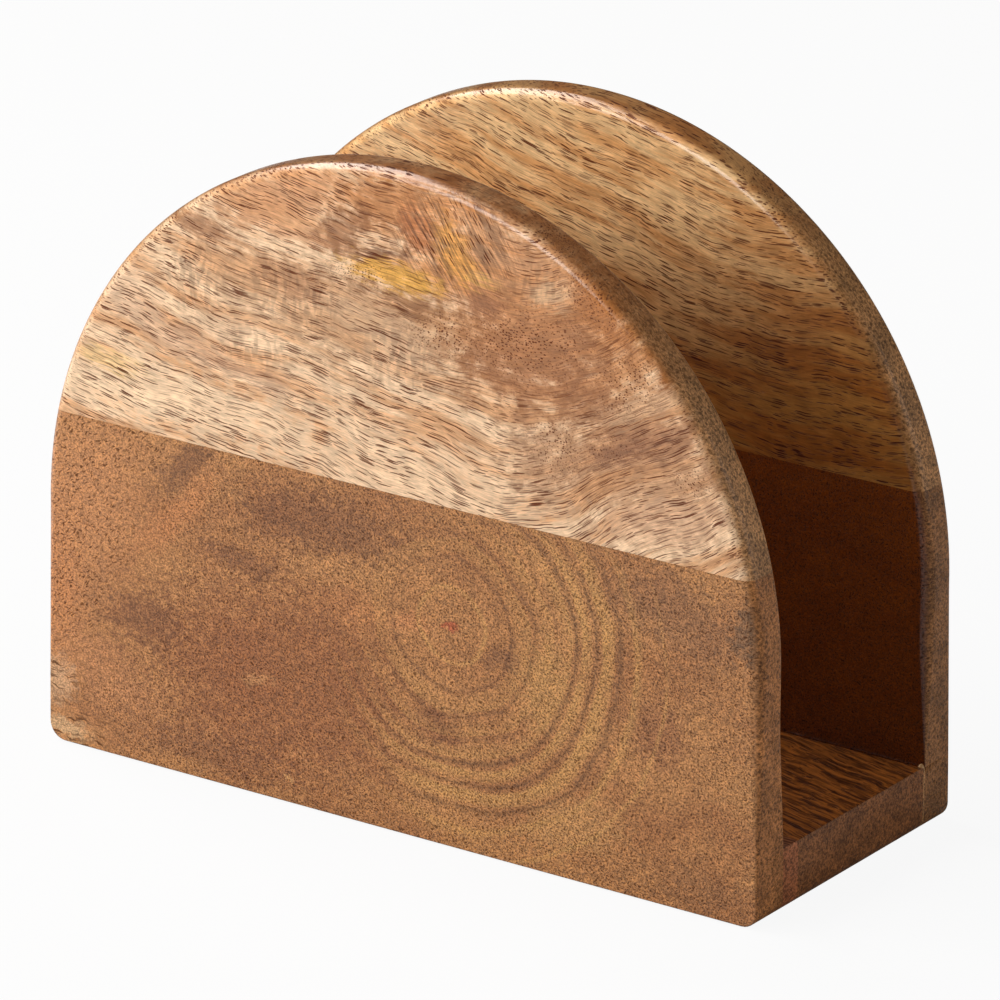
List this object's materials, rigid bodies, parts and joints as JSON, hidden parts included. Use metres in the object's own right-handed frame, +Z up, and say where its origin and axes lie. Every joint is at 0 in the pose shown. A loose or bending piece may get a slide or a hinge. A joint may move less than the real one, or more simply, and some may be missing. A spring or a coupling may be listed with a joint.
{
  "type": "napkin holder",
  "caption": "Free-standing wooden napkin holder: two arched panels stand on either side of a flat base, and napkins stand on edge in the open slot between them.",
  "frame": {"origin": "centre of the flat underside, on the surface that the holder stands on", "axes": "+X along the width of the arched panels, +Y through the depth from the front panel to the back panel, +Z up"},
  "size_m": [0.16, 0.065, 0.1275],
  "materials": {
    "upper_wood": "light tan figured hardwood with short dark pores, clear satin lacquer",
    "lower_wood": "warm brown hardwood with growth rings, clear satin lacquer",
    "base_wood": "dark brown hardwood, grey-brown end grain, clear satin lacquer",
    "strip_wood": "reddish brown hardwood, clear satin lacquer",
    "dowel_wood": "pale raw beech, unfinished"
  },
  "bodies": {
    "root": {"front_upper_board": "upper_wood", "back_upper_board": "upper_wood", "front_lower_board": "lower_wood", "back_lower_board": "lower_wood", "base_board": "base_wood", "base_front_strip": "strip_wood", "dowel_front_left": "dowel_wood", "dowel_front_middle": "dowel_wood", "dowel_front_right": "dowel_wood", "dowel_back_left": "dowel_wood", "dowel_back_middle": "dowel_wood", "dowel_back_right": "dowel_wood"}
  },
  "joints": []
}
